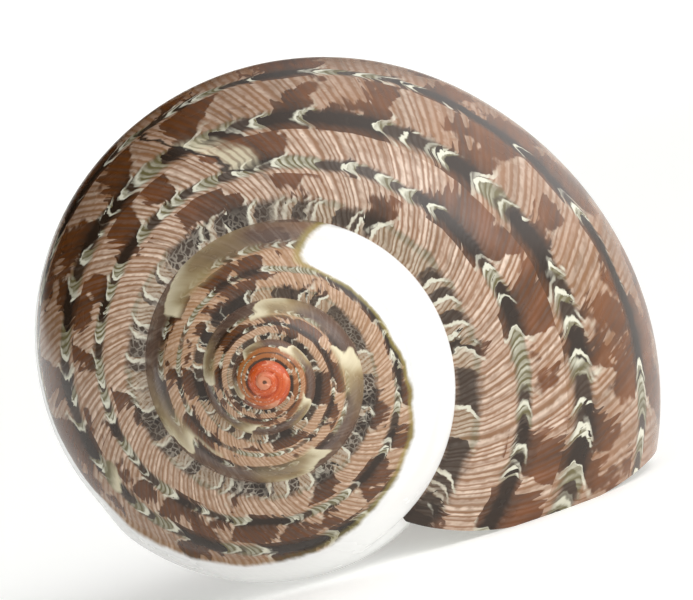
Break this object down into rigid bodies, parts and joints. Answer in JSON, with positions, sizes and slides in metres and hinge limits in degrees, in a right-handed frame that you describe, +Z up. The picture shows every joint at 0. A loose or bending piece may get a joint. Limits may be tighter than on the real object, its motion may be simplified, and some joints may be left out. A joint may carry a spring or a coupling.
{
  "type": "turban shell",
  "caption": "Glossy spiral turban shell lying on its mouth, with a banded brown outside, a white callus and an open round aperture.",
  "frame": {"origin": "centre of the shell's footprint, on the surface it rests on", "axes": "+Z up, the coiling axis level with the apex towards -Y, the outer lip on the +X side"},
  "size_m": [0.0638, 0.0632, 0.0535],
  "materials": {
    "shell": "naturally glossy patterned seashell"
  },
  "bodies": {
    "root": {"shell": "shell"}
  },
  "joints": []
}
